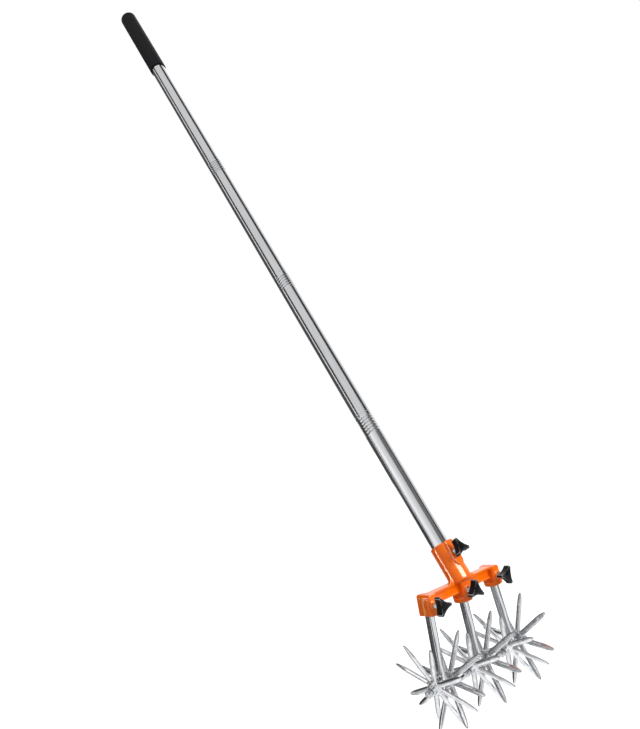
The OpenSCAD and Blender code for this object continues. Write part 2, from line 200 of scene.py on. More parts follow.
def makeTumbledAlloy():
    # cast light alloy, tumbled bright: faint grey flow marks, small pits, edges painted darker as a painted
    # reflection of dark surroundings
    material, add = newMaterial("tumbledAlloy")
    spot = add("ShaderNodeTexCoord", out="Object")
    flow = add(noiseNode, {"Vector": spot, "Scale": 110, "Detail": 5, "Roughness": 0.62})  # 9 mm flow marks
    flow = add(rangeNode, {"Value": flow, "From Min": 0.32, "From Max": 0.7})
    tone = add(mixNode, {0: flow, 6: linearColour("#C0C2C5"), 7: linearColour("#E6E7E9")}, 2, data_type="RGBA")
    # painted reflection: edges darkened as if they mirrored dark surroundings, which outlines each tine
    darkEdgeReflection = add(pointNode, out="Fac", attribute_name="edge")
    darkEdgeReflection = add(rangeNode, {"Value": darkEdgeReflection, "From Min": 0.2, "From Max": 0.8, "To Max": 0.6})
    tone = add(mixNode, {0: darkEdgeReflection, 6: tone, 7: linearColour("#77797D")}, 2, data_type="RGBA")
    shine = add(rangeNode, {"Value": flow, "To Min": 0.24, "To Max": 0.13})
    pits = add(noiseNode, {"Vector": spot, "Scale": 1500, "Detail": 2})  # 0.7 mm pits
    pits = add(bumpNode, {"Height": pits, "Strength": 0.12, "Distance": 0.08 * mm})
    skin = add(noiseNode, {"Vector": spot, "Scale": 240, "Detail": 4})
    skin = add(bumpNode, {"Height": skin, "Strength": 0.2, "Distance": 0.35 * mm, "Normal": pits})
    paint = add(paintNode, {"Base Color": tone, "Roughness": shine, "Normal": skin, "Metallic": 1.0})
    add("ShaderNodeOutputMaterial", {"Surface": paint})
    return material


def makeDressedAlloy():
    # the shanks' cast alloy, dressed lengthwise: grey and bright streaks that run down each bar
    material, add = newMaterial("dressedAlloy")
    own = add(pointNode, out="Vector", attribute_name="own")
    slim = add(vectorNode, {0: own, 1: (1, 1, 0.02)}, operation="MULTIPLY")
    streak = add(noiseNode, {"Vector": slim, "Scale": 0.55, "Detail": 3})  # 2 mm streaks, on millimetres
    bright = add(rangeNode, {"Value": streak, "From Min": 0.38, "From Max": 0.6})
    tone = add(mixNode, {0: bright, 6: linearColour("#6E7074"), 7: linearColour("#E4E6E8")}, 2,
               data_type="RGBA")
    fine = add(noiseNode, {"Vector": slim, "Scale": 2.5, "Detail": 3})
    fine = add(rangeNode, {"Value": fine, "From Min": 0.5, "From Max": 0.7, "To Max": 0.4})
    tone = add(mixNode, {0: fine, 6: tone, 7: linearColour("#808286")}, 2, data_type="RGBA")
    # painted reflection: edges darkened as if they mirrored dark surroundings
    darkEdgeReflection = add(pointNode, out="Fac", attribute_name="edge")
    darkEdgeReflection = add(rangeNode, {"Value": darkEdgeReflection, "From Min": 0.2, "From Max": 0.8, "To Max": 0.5})
    tone = add(mixNode, {0: darkEdgeReflection, 6: tone, 7: linearColour("#77797D")}, 2, data_type="RGBA")
    shine = add(rangeNode, {"Value": streak, "From Min": 0.3, "From Max": 0.7, "To Min": 0.3, "To Max": 0.18})
    spot = add("ShaderNodeTexCoord", out="Object")
    pits = add(noiseNode, {"Vector": spot, "Scale": 1500, "Detail": 2})
    pits = add(bumpNode, {"Height": pits, "Strength": 0.1, "Distance": 0.08 * mm})
    skin = add(bumpNode, {"Height": streak, "Strength": 0.25, "Distance": 0.3 * mm, "Normal": pits})
    paint = add(paintNode, {"Base Color": tone, "Roughness": shine, "Normal": skin, "Metallic": 1.0})
    add("ShaderNodeOutputMaterial", {"Surface": paint})
    return material


def makeZincSteel():
    # zinc-plated studs and pins: cool grey, a little cloudy
    material, add = newMaterial("zincSteel")
    spot = add("ShaderNodeTexCoord", out="Object")
    cloud = add(noiseNode, {"Vector": spot, "Scale": 300, "Detail": 4, "Roughness": 0.6})  # 3 mm spangle
    cloud = add(rangeNode, {"Value": cloud, "From Min": 0.3, "From Max": 0.7})
    tone = add(mixNode, {0: cloud, 6: linearColour("#A9ABAE"), 7: linearColour("#CDD0D3")}, 2, data_type="RGBA")
    shine = add(rangeNode, {"Value": cloud, "To Min": 0.32, "To Max": 0.2})
    grit = add(noiseNode, {"Vector": spot, "Scale": 1800, "Detail": 2})
    grit = add(bumpNode, {"Height": grit, "Strength": 0.08, "Distance": 0.04 * mm})
    paint = add(paintNode, {"Base Color": tone, "Roughness": shine, "Normal": grit, "Metallic": 1.0})
    add("ShaderNodeOutputMaterial", {"Surface": paint})
    return material


def makeBlackNylon():
    # moulded black nylon: fine spark-eroded grain, a light line along its edges that is a painted highlight
    material, add = newMaterial("blackNylon")
    spot = add("ShaderNodeTexCoord", out="Object")
    cloud = add(noiseNode, {"Vector": spot, "Scale": 120, "Detail": 3})
    cloud = add(rangeNode, {"Value": cloud, "From Min": 0.3, "From Max": 0.7})
    body = add(mixNode, {0: cloud, 6: linearColour("#060608"), 7: linearColour("#0C0C0E")}, 2, data_type="RGBA")
    # painted highlight: the rounded edges painted light grey
    rim = add(pointNode, out="Fac", attribute_name="edge")
    rim = add(rangeNode, {"Value": rim, "From Min": 0.15, "From Max": 0.6, "To Max": 0.85})
    body = add(mixNode, {0: rim, 6: body, 7: linearColour("#94949A")}, 2, data_type="RGBA")
    satin = add(rangeNode, {"Value": cloud, "To Min": 0.38, "To Max": 0.5})
    grain = add(noiseNode, {"Vector": spot, "Scale": 2600, "Detail": 2})  # 0.4 mm grain
    grain = add(bumpNode, {"Height": grain, "Strength": 0.15, "Distance": 0.05 * mm})
    paint = add(paintNode, {"Base Color": body, "Roughness": satin, "Normal": grain,
                            "Specular IOR Level": 0.15})
    add("ShaderNodeOutputMaterial", {"Surface": paint})
    return material


def makeMouldedRubber():
    # moulded rubber sleeve: soft black with a dusty bloom and a fine grain, drawn at 0.5 mm so that it shows
    material, add = newMaterial("mouldedRubber")
    spot = add("ShaderNodeTexCoord", out="Object")
    bloom = add(noiseNode, {"Vector": spot, "Scale": 60, "Detail": 5, "Roughness": 0.6})
    bloom = add(rangeNode, {"Value": bloom, "From Min": 0.35, "From Max": 0.7})
    body = add(mixNode, {0: bloom, 6: linearColour("#0A0A0D"), 7: linearColour("#131317")}, 2, data_type="RGBA")
    matt = add(rangeNode, {"Value": bloom, "To Min": 0.52, "To Max": 0.66})
    grain = add(noiseNode, {"Vector": spot, "Scale": 2000, "Detail": 2})
    grain = add(bumpNode, {"Height": grain, "Strength": 0.22, "Distance": 0.08 * mm})
    paint = add(paintNode, {"Base Color": body, "Roughness": matt, "Normal": grain, "Specular IOR Level": 0.13})
    add("ShaderNodeOutputMaterial", {"Surface": paint})
    return material


enamelledCasting = makeEnamelledCasting()
drawnStainless = makeDrawnStainless()
tumbledAlloy = makeTumbledAlloy()
dressedAlloy = makeDressedAlloy()
zincSteel = makeZincSteel()
blackNylon = makeBlackNylon()
mouldedRubber = makeMouldedRubber()
print("materials made")


def meshFrom(name, points, faces):
    mesh = bpy.data.meshes.new(name)
    mesh.from_pydata([tuple(p) for p in points], [], [tuple(f) for f in faces])
    bm = bmesh.new()
    bm.from_mesh(mesh)
    bmesh.ops.remove_doubles(bm, verts=bm.verts, dist=weldGap)
    bmesh.ops.recalc_face_normals(bm, faces=bm.faces)
    bm.to_mesh(mesh)
    bm.free()
    return mesh


def arc(centre, radius, fromAngle, toAngle, steps):
    # points of an arc in a profile, angles in degrees from the radius towards the axis of turning
    angles = np.radians(np.linspace(fromAngle, toAngle, steps))
    return [(centre[0] + radius * math.cos(a), centre[1] + radius * math.sin(a)) for a in angles]


def latheMesh(name, profile, segments, outline=None, closed=False, sweep=360):
    # turns a profile of (radius, height) about Z; outline may change the radius by angle
    points, faces = [], []
    rows = len(profile)
    full = sweep == 360
    columns = segments if full else segments + 1
    for j in range(columns):
        angle = math.radians(sweep) * (j / segments) - (0 if full else math.radians(sweep) / 2)
        for radius, height in profile:
            r = outline(angle, radius) if outline else radius
            points.append((r * math.cos(angle), r * math.sin(angle), height))
    steps = rows if closed else rows - 1
    for j in range(segments):
        k = (j + 1) % columns
        for i in range(steps):
            n = (i + 1) % rows
            faces.append((j * rows + i, k * rows + i, k * rows + n, j * rows + n))
    return meshFrom(name, points, faces)


def smoothShade(mesh):
    mesh.polygons.foreach_set("use_smooth", [True] * len(mesh.polygons))


def neighbourSteps(mesh):
    # for each point, the way to the middle of its neighbours
    count = len(mesh.vertices)
    ends = np.empty(len(mesh.edges) * 2, np.int64)
    mesh.edges.foreach_get("vertices", ends)
    a, b = ends.reshape(-1, 2).T
    degree = np.bincount(a, minlength=count) + np.bincount(b, minlength=count)

    def steps(co):
        total = np.stack([np.bincount(a, co[b, k], count) + np.bincount(b, co[a, k], count)
                          for k in range(3)], 1)
        return total / degree[:, None] - co
    return steps


def pointsOf(mesh):
    co = np.empty(len(mesh.vertices) * 3)
    mesh.vertices.foreach_get("co", co)
    return co.reshape(-1, 3)


smoothing = {"pull": 0.5, "free": 2}  # share of the way in each round; rounds before the bores are held


def evenSkin(mesh, voxel, rounds, keep=None):
    # fuses a mesh to one even skin and rounds its edges, as a casting's are; keep marks bores that stay true
    holder = bpy.data.objects.new("skinHolder", mesh)
    scene.collection.objects.link(holder)
    remesh = holder.modifiers.new("skin", "REMESH")
    remesh.mode = "VOXEL"
    remesh.voxel_size = voxel
    skin = bpy.data.meshes.new_from_object(holder.evaluated_get(bpy.context.evaluated_depsgraph_get()))
    bpy.data.objects.remove(holder)
    co = pointsOf(skin)
    steps = neighbourSteps(skin)
    share = np.full(len(co), smoothing["pull"])
    for i in range(rounds):
        if i == smoothing["free"] and keep is not None:
            share[keep(co)] = 0
        co = co + steps(co) * share[:, None]
    skin.vertices.foreach_set("co", co.ravel())
    skin.update()
    markEdges(skin, voxel)
    return skin


def thinnedOut(mesh, faces):
    # takes points out of flat stretches until about this many triangles are left
    holder = bpy.data.objects.new("thinHolder", mesh)
    scene.collection.objects.link(holder)
    thin = holder.modifiers.new("thin", "DECIMATE")
    thin.ratio = min(1.0, faces / (2 * len(mesh.polygons)))
    result = bpy.data.meshes.new_from_object(holder.evaluated_get(bpy.context.evaluated_depsgraph_get()))
    bpy.data.objects.remove(holder)
    return result


def markEdges(mesh, size, beyond=0, gain=8):
    # a point attribute that grows on sharp convex edges, for thin paint and for painted edge highlights and dark
    # edge reflections;
    # beyond leaves a round middle out
    normals = np.empty(len(mesh.vertices) * 3)
    mesh.vertices.foreach_get("normal", normals)
    bend = -(neighbourSteps(mesh)(pointsOf(mesh)) * normals.reshape(-1, 3)).sum(1) / size
    co = pointsOf(mesh)
    edge = mesh.attributes.new("edge", "FLOAT", "POINT")
    outside = np.hypot(co[:, 0], co[:, 1]) >= beyond
    edge.data.foreach_set("value", np.clip(bend * gain, 0, 1) * outside)


def copyOfNode(node, place):
    # a CAD node's mesh in a piece's own millimetres
    mesh = nodes[node].data.copy()
    mesh.materials.clear()
    mesh.transform((place @ Matrix.Scale(mm, 4)).inverted())
    bm = bmesh.new()
    bm.from_mesh(mesh)
    bmesh.ops.remove_doubles(bm, verts=bm.verts, dist=cadWeldGap)
    bm.to_mesh(mesh)
    bm.free()
    return mesh


def addPiece(name, mesh, place, material, body, slotName, *stands):
    # puts a piece's mesh in its place and ties it to the frame
    mesh.transform(place @ Matrix.Scale(mm, 4))
    mesh.materials.clear()
    mesh.materials.append(material)
    smoothShade(mesh)
    piece = bpy.data.objects.new(name, mesh)
    scene.collection.objects.link(piece)
    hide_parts(*stands)
    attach(piece, body)
    return piece


def newTree(name, *sockets):
    tree = bpy.data.node_groups.new(name, "GeometryNodeTree")
    tree.interface.new_socket("Geometry", in_out="INPUT", socket_type="NodeSocketGeometry")
    for label, kind in sockets:
        tree.interface.new_socket(label, in_out="INPUT", socket_type="NodeSocket" + kind)
    tree.interface.new_socket("Geometry", in_out="OUTPUT", socket_type="NodeSocketGeometry")
    return tree, tree.nodes.new("NodeGroupInput").outputs, partial(addNode, tree)


threadForm = {
    "power": 1.4,  # rounded crests, narrower roots
    "fade": 0.4,  # run-in and run-out, as a share of the pitch
    "skin": 0.3,  # only what lies this near the outer surface is cut
}


def makeThreadTree():
    # cuts a rolled helical thread into a turned surface between two heights
    tree, given, add = newTree("rolledThread", ("Radius", "Float"), ("Pitch", "Float"), ("Depth", "Float"),
                               ("From", "Float"), ("To", "Float"), ("Material", "Material"))
    position = add("GeometryNodeInputPosition")
    x, y, z = [add("ShaderNodeSeparateXYZ", {0: position}, axis) for axis in "XYZ"]
    around = add(mathNode, {0: y, 1: x}, operation="ARCTAN2")
    around = add(mathNode, {0: around, 1: 2 * math.pi}, operation="DIVIDE")
    rise = add(mathNode, {0: z, 1: given["Pitch"]}, operation="DIVIDE")
    turns = add(mathNode, {0: rise, 1: around}, operation="SUBTRACT")
    angle = add(mathNode, {0: turns, 1: 2 * math.pi}, operation="MULTIPLY")
    wave = add(mathNode, {0: angle}, operation="COSINE")
    groove = add(mathNode, {0: wave, 1: -0.5, 2: 0.5}, operation="MULTIPLY_ADD")
    groove = add(mathNode, {0: groove, 1: threadForm["power"]}, operation="POWER")
    flat = add("ShaderNodeCombineXYZ", {"X": x, "Y": y})
    reach = add(vectorNode, {0: flat}, "Value", operation="LENGTH")
    fade = add(mathNode, {0: given["Pitch"], 1: threadForm["fade"]}, operation="MULTIPLY")
    lowEnd = add(mathNode, {0: given["From"], 1: fade}, operation="ADD")
    highEnd = add(mathNode, {0: given["To"], 1: fade}, operation="SUBTRACT")
    runIn = add(rangeNode, {"Value": z, "From Min": given["From"], "From Max": lowEnd},
                interpolation_type="SMOOTHSTEP")
    runOut = add(rangeNode, {"Value": z, "From Min": given["To"], "From Max": highEnd},
                 interpolation_type="SMOOTHSTEP")
    skin = add(mathNode, {0: given["Radius"], 1: threadForm["skin"]}, operation="SUBTRACT")
    cut = add(mathNode, {0: reach, 1: skin}, operation="GREATER_THAN")
    for share in (groove, runIn, runOut):
        cut = add(mathNode, {0: cut, 1: share}, operation="MULTIPLY")
    marked = add("GeometryNodeStoreNamedAttribute", {
        "Geometry": given["Geometry"], "Name": "groove", "Value": cut}, data_type="FLOAT", domain="POINT")
    depth = add(mathNode, {0: cut, 1: given["Depth"]}, operation="MULTIPLY")
    inward = add(mathNode, {0: depth, 1: -1}, operation="MULTIPLY")
    outward = add(vectorNode, {0: flat}, operation="NORMALIZE")
    shift = add(vectorNode, {0: outward, "Scale": inward}, operation="SCALE")
    formed = add("GeometryNodeSetPosition", {"Geometry": marked, "Offset": shift})
    plain = add("GeometryNodeRealizeInstances", {0: formed})
    done = add("GeometryNodeSetMaterial", {"Geometry": plain, "Material": given["Material"]})
    add("NodeGroupOutput", {"Geometry": done})
    return tree


def makeRingTree():
    # repeats one wedge of a wheel about Z and welds the wedges
    tree, given, add = newTree("wheelRing", ("Count", "Int"), ("Weld", "Float"), ("Material", "Material"))
    spots = add("GeometryNodePoints", {"Count": given["Count"]})
    step = add(mathNode, {0: 2 * math.pi, 1: given["Count"]}, operation="DIVIDE")
    angle = add(mathNode, {0: add("GeometryNodeInputIndex"), 1: step}, operation="MULTIPLY")
    turn = add("FunctionNodeEulerToRotation", {0: add("ShaderNodeCombineXYZ", {"Z": angle})})
    ring = add("GeometryNodeInstanceOnPoints", {
        "Points": spots, "Instance": given["Geometry"], "Rotation": turn})
    plain = add("GeometryNodeRealizeInstances", {0: ring})
    welded = add("GeometryNodeMergeByDistance", {"Geometry": plain, "Distance": given["Weld"]})
    done = add("GeometryNodeSetMaterial", {"Geometry": welded, "Material": given["Material"]})
    add("NodeGroupOutput", {"Geometry": done})
    return tree


def runTree(tree, mesh, **values):
    # gives the mesh to a tree and takes back a plain mesh
    holder = bpy.data.objects.new("treeHolder", mesh)
    scene.collection.objects.link(holder)
    modifier = holder.modifiers.new("tree", "NODES")
    modifier.node_group = tree
    for item in tree.interface.items_tree:
        if item.in_out == "INPUT" and item.name in values:
            modifier[item.identifier] = values[item.name]
    result = bpy.data.meshes.new_from_object(holder.evaluated_get(bpy.context.evaluated_depsgraph_get()))
    bpy.data.objects.remove(holder)
    return result


rolledThread = makeThreadTree()
wheelRing = makeRingTree()
print("trees made")


tubes = {
    "pole_lower": {"from": -40.7, "to": 200, "spigot": 0, "thread": True},
    "pole_second": {"from": 200.02, "to": 464, "spigot": 32, "thread": True},
    "pole_third": {"from": 464.02, "to": 728, "spigot": 32, "thread": True},
    "pole_upper": {"from": 728.02, "to": 1156, "spigot": 32, "thread": False},
}
tubeForm = {
    "chamfer": 0.45,
    "crisp": 0.2,  # a close row beside each chamfer keeps its shading off the tube
    "lowRow": 30, "highRow": 60,  # single rows on plain stretches, from the tube's ends
    "spigotRadius": 10.78, "spigotBore": 9.6,
    "spigotCone": (8, 6),  # where the bore narrows to the spigot's
    "segments": 112,
}
poleThread = {
    "turns": 6, "pitch": 4.5, "depth": 0.75,
    "clear": 4.6,  # plain tube between the thread and the tube's end
    "rowsPerTurn": 14, "rowsBelow": 2, "rowsClear": 0.3,  # where the fine rows start and stop
}


def tubeProfile(size):
    t, thread = tubeForm, poleThread
    r, c = pole["radius"], t["chamfer"]
    inner = r - pole["wall"]
    low, high = size["from"], size["to"]
    rows = [high - t["highRow"]]
    if size["thread"]:
        rowsLow = high - thread["clear"] - thread["turns"] * thread["pitch"] - thread["rowsBelow"]
        rows = np.arange(rowsLow, high - c - thread["rowsClear"], thread["pitch"] / thread["rowsPerTurn"])
    crisp = c + t["crisp"]
    profile = [(r - c, low), (r, low + c), (r, low + crisp), (r, low + t["lowRow"])]
    profile += [(r, z) for z in rows] + [(r, high - crisp), (r, high - c), (r - c, high), (inner, high)]
    if size["spigot"]:
        wide, narrow = t["spigotCone"]
        bottom = low - size["spigot"]
        profile += [(inner, low + wide), (t["spigotBore"], low + narrow), (t["spigotBore"], bottom),
                    (t["spigotRadius"], bottom), (t["spigotRadius"], low)]
    else:
        profile += [(inner, low)]
    return profile


for name, size in tubes.items():
    mesh = latheMesh(name, tubeProfile(size), tubeForm["segments"], closed=True)
    threadTop = size["to"] - poleThread["clear"] if size["thread"] else 0
    mesh = runTree(rolledThread, mesh, **{
        "Radius": pole["radius"], "Pitch": poleThread["pitch"],
        "Depth": poleThread["depth"] if size["thread"] else 0.0,
        "From": threadTop - poleThread["turns"] * poleThread["pitch"], "To": float(threadTop),
        "Material": drawnStainless})
    addPiece("tube." + name, mesh, poleFrame(), drawnStainless, "pole", "tube", name)
print("pole made")


gripSize = {
    "from": 992, "to": 1161,  # along the pole from the socket's rim
    "radius": 14.6, "bore": 12.52, "endThick": 5, "endRound": 2.6, "endFlat": 4, "lip": 1.05,
    "crown": 0.25,  # the sleeve is this much thicker across its middle
    "sink": 0.12,  # the round ends meet the sleeve's thinner ends
    "rows": 40, "lipRows": 6, "endRows": 10, "segments": 96,
}


def gripProfile():
    g = gripSize
    low, high, lip, end = g["from"], g["to"], g["lip"], g["endRound"]
    body = []
    for share in np.linspace(0, 1, g["rows"]):
        z = low + lip + share * (high - low - lip - end)
        body.append((g["radius"] - g["crown"] * (1 - math.sin(math.pi * share)) * 0.5, z))
    lipArc = arc((g["radius"] - lip - g["sink"], low + lip), lip, -90, 0, g["lipRows"])[:-1]
    endArc = arc((g["radius"] - end - g["sink"], high - end), end, 0, 90, g["endRows"])[1:]
    floor = high - g["endThick"]
    return ([(0, floor), (g["bore"], floor), (g["bore"], low)] + lipArc + body + endArc
            + [(g["endFlat"], high), (0, high)])


gripMesh = latheMesh("grip", gripProfile(), gripSize["segments"])
addPiece("sleeve.grip", gripMesh, poleFrame(), mouldedRubber, "pole", "grip", "grip")
print("grip made")


headSize = {
    "voxel": 0.42, "rounds": 5, "faces": 150000,
    "poleBore": 12.6, "poleHeld": (-45, -1.5),  # radius, and the stretch of the bore's wall that stays true
    "shankBore": (4.3, 6.3), "shankHeld": (1.5, 19),
    "screwBore": 3.05, "screwHeld": 5,
    "wallSpare": 0.25, "screwSpare": 0.45,  # how far from a bore its wall's points may lie
    "partLineHighlight": 1.2, "lineRise": 0.3,
    "lineFacing": 0.7, "lineOnset": 4,  # how squarely a face looks sideways before it carries the line
}


def headBores(co):
    # points on the bores' walls, which the smoothing leaves true
    h, spare = headSize, headSize["wallSpare"]

    def inFrame(place):
        local = np.array((place.inverted() @ headFrame @ Matrix.Scale(mm, 4)))
        return ((co @ local[:3, :3].T + local[:3, 3]) / mm).T
    x, y, z = inFrame(poleFrame())
    low, high = h["poleHeld"]
    kept = (np.hypot(x, y) < h["poleBore"] + spare) & (z > low) & (z < high)
    width, depth = h["shankBore"]
    low, high = h["shankHeld"]
    for side in sides.values():
        x, y, z = inFrame(tineFrame(side))
        kept |= (abs(x) < width + spare) & (abs(y) < depth + spare) & (z > low) & (z < high)
    for place in [poleScrewFrame()] + [tineScrewFrame(side) for side in sides.values()]:
        x, y, z = inFrame(place)
        kept |= (np.hypot(x, y) < h["screwBore"] + h["screwSpare"]) & (z > h["screwHeld"])
    return kept


def markPartLine(mesh):
    # the mould's part line down the middle of the casting's ends, drawn coarser than it is so that it shows; it is
    # raised a little and painted pale as a painted highlight on its ridge
    normals = np.empty(len(mesh.vertices) * 3)
    mesh.vertices.foreach_get("normal", normals)
    sideways = abs(normals.reshape(-1, 3)[:, 0])
    facing = np.clip((sideways - headSize["lineFacing"]) * headSize["lineOnset"], 0, 1)
    co = pointsOf(mesh)
    line = np.exp(-(co[:, 1] / headSize["partLineHighlight"]) ** 2) * facing * (abs(co[:, 0]) > tineUnit["pitch"])
    attribute = mesh.attributes.new("partLineHighlight", "FLOAT", "POINT")
    attribute.data.foreach_set("value", line)
    co[:, 0] += np.sign(co[:, 0]) * line * headSize["lineRise"]
    mesh.vertices.foreach_set("co", co.ravel())
    mesh.update()


headMesh = evenSkin(copyOfNode("head_bracket", headFrame), headSize["voxel"], headSize["rounds"], headBores)
headMesh = thinnedOut(headMesh, headSize["faces"])
markPartLine(headMesh)
casting = addPiece("casting.head_bracket", headMesh, headFrame, enamelledCasting, "head", "casting",
                   "head_bracket")
print("head made:", len(headMesh.polygons), "faces")


knobSize = {
    "radius": 12, "waist": 5.4, "wing": 3.2, "thick": 10.5,
    "crown": 2.2, "crownPower": 1.25,  # the front's fall from the middle to the wings
    "bore": 3.05, "boreDeep": 7.3, "backRow": 7,
    "edge": 0.55, "edgeScale": 0.5, "soften": 0.14,
    "wallClear": 0.3,  # plain wall beside the round edges
    "rows": {"top": 14, "rim": 6, "wall": 6, "back": 5}, "segments": 216,
}
studSize = {
    "radius": 3, "pitch": 1.0, "depth": 0.42, "inKnob": 7, "chamfer": 0.6,
    "tipGap": 0.1,  # between the stud and what it clamps
    "threadFrom": 0.8, "threadInKnob": 6.4,  # from the tip, and past the knob's back
    "rowsPerTurn": 8, "segments": 48,
}
clamps = {
    "pole": {"place": poleScrewFrame(), "knobBack": 23.1, "tip": 12.6, "turn": 100,
             "nodes": ("pole_screw", "pole_knob")},
}
for side, sign in sides.items():
    clamps[side] = {"place": tineScrewFrame(sign), "knobBack": 19.5, "tip": 6.1,
                    "turn": {"left": 0, "middle": 80, "right": 47}[side],
                    "nodes": ("tine_screw_" + side, "tine_knob_" + side)}


def knobOutline(angle, radius):
    # three round bites between the wings, with softened corners
    k = knobSize
    half = k["wing"] / 2
    tipX = math.sqrt(k["radius"] ** 2 - half ** 2)
    far = (k["radius"] ** 2 - k["waist"] ** 2) / (2 * (tipX * 0.5 + half * math.sqrt(3) / 2 - k["waist"]))
    fromBite = (angle % math.radians(120)) - math.radians(60)
    inside = (far - k["waist"]) ** 2 - (far * math.sin(fromBite)) ** 2
    limit = k["radius"]
    if inside > 0:
        bite = far * math.cos(fromBite) - math.sqrt(inside)
        s = k["soften"]
        limit = -s * math.log(math.exp(-bite / s) + math.exp(-limit / s))
    share = max(0.0, (radius - k["bore"]) / (k["radius"] - k["bore"]))
    return radius if radius <= k["bore"] else k["bore"] + share * (limit - k["bore"])


def knobProfile():
    k = knobSize
    r, e = k["radius"], k["edge"]
    front = k["thick"] - k["crown"]

    def topAt(radius):
        share = max(0.0, (radius - k["waist"] / 2) / (r - k["waist"] / 2))
        return k["thick"] - k["crown"] * share ** k["crownPower"]
    rows, clear = k["rows"], k["wallClear"]
    top = [(x, topAt(x)) for x in np.linspace(0, r - e, rows["top"])]
    rim = arc((r - e, front - e), e, 90, 0, rows["rim"])[1:]
    wall = [(r, z) for z in np.linspace(front - e - clear, e + clear, rows["wall"])]
    back = arc((r - e, e), e, 0, -90, rows["back"]) + [(k["backRow"], 0)]
    return top + rim + wall + back + [(k["bore"], 0), (k["bore"], k["boreDeep"]), (0, k["boreDeep"])]


def studProfile(tip, back):
    r, c = studSize["radius"], studSize["chamfer"]
    low, high = tip + studSize["tipGap"], back + studSize["inKnob"]
    rows = np.arange(low + c, high - c, studSize["pitch"] / studSize["rowsPerTurn"])
    return [(0, low), (r - c, low)] + [(r, z) for z in rows] + [(r - c, high), (0, high)]


for name, clamp in clamps.items():
    screwNode, knobNode = clamp["nodes"]
    knob = latheMesh(knobNode, knobProfile(), knobSize["segments"], outline=knobOutline)
    markEdges(knob, knobSize["edgeScale"], knobSize["waist"])
    addPiece("knob." + name, knob, clamp["place"] @ moved(z=clamp["knobBack"]) @ turned("Z", clamp["turn"]),
             blackNylon, knobNode, "knob", knobNode)
    stud = latheMesh(screwNode, studProfile(clamp["tip"], clamp["knobBack"]), studSize["segments"])
    stud = runTree(rolledThread, stud, **{
        "Radius": float(studSize["radius"]), "Pitch": studSize["pitch"], "Depth": studSize["depth"],
        "From": clamp["tip"] + studSize["threadFrom"], "To": clamp["knobBack"] + studSize["threadInKnob"],
        "Material": zincSteel})
    addPiece("stud." + name, stud, clamp["place"], zincSteel, screwNode, "steel", screwNode)
print("clamps made")


shankSize = {"voxel": 0.5, "rounds": 4}

shankMesh = evenSkin(copyOfNode("tine_shank_middle", tineFrame(0)), shankSize["voxel"], shankSize["rounds"])
own = shankMesh.attributes.new("own", "FLOAT_VECTOR", "POINT")
own.data.foreach_set("vector", pointsOf(shankMesh).ravel())
for side, sign in sides.items():
    addPiece("shank." + side, shankMesh.copy(), tineFrame(sign), dressedAlloy, "tine_" + side, "alloy",
             "tine_shank_" + side)
print("shanks made:", len(shankMesh.polygons), "faces each")


wheelSize = {
    "radius": 56, "tines": 8,
    "hubRadius": 8.5, "hubLow": -5.2, "hubHigh": 2.9, "collarRadius": 6.2, "collarHigh": 8.9,
    "bore": 3.05, "boreSpare": 0.3,
    "wedgeSteps": 9, "weld": 0.01, "voxel": 0.5, "rounds": 3,
    "turnLeft": 20, "turnRight": -35.5,  # degrees at rest; the tines of two wheels pass between each other
}
tineSize = {
    "width": 7, "thick": 4.6, "flat": 2.4, "edge": 2, "tipThick": 1.8,
    "from": 4.5, "point": 16,  # where a tine starts inside the hub, and the length of its leaf end
    "leafPower": 0.42,
    "leafAngles": (0.1, math.pi / 2 - 0.12),  # the leaf's rows close up towards its blunt tip
    "barRows": 8, "leafRows": 14,
}


def tineSection(width, thick):
    # a flat bar with bevelled edges, as (across, up) points
    t = tineSize
    flat = t["flat"] / 2 * width / t["width"]
    edge = t["edge"] / 2 * thick / t["thick"]
    corner = [(width / 2, edge), (flat, thick / 2), (-flat, thick / 2), (-width / 2, edge)]
    return corner + [(-y, -z) for y, z in corner]


def tineMeshData():
    # a blunt leaf-ended tine as a loft of sections along X
    t = tineSize
    pointFrom = wheelSize["radius"] - t["point"]
    leaf = [pointFrom + t["point"] * math.sin(a) for a in np.linspace(*t["leafAngles"], t["leafRows"])]
    stations = list(np.linspace(t["from"], pointFrom, t["barRows"])) + leaf
    points, faces = [], []
    for x in stations:
        share = max(0.0, (x - pointFrom) / t["point"])
        width = t["width"] * (1 - share ** 2) ** t["leafPower"]
        thick = t["thick"] + (t["tipThick"] - t["thick"]) * share
        points += [(x, y, z) for y, z in tineSection(width, thick)]
    count = len(points) // len(stations)
    for j in range(len(stations) - 1):
        for i in range(count):
            n = (i + 1) % count
            faces.append((j * count + i, j * count + n, (j + 1) * count + n, (j + 1) * count + i))
    faces.append(tuple(range(count)))
    faces.append(tuple(range((len(stations) - 1) * count, len(stations) * count)))
    return points, faces


def wheelWedge():
    w = wheelSize
    hub = latheMesh("hubWedge", [
        (w["bore"], w["hubLow"]), (w["hubRadius"], w["hubLow"]), (w["hubRadius"], w["hubHigh"]),
        (w["collarRadius"], w["hubHigh"]), (w["collarRadius"], w["collarHigh"]), (w["bore"], w["collarHigh"]),
    ], w["wedgeSteps"], closed=True, sweep=360 / w["tines"])
    points, faces = tineMeshData()
    bm = bmesh.new()
    bm.from_mesh(hub)
    bm.from_mesh(meshFrom("tine", points, faces))
    wedge = bpy.data.meshes.new("wheelWedge")
    bm.to_mesh(wedge)
    bm.free()
    return wedge


def wheelBore(co):
    return np.hypot(co[:, 0], co[:, 1]) < wheelSize["bore"] + wheelSize["boreSpare"]


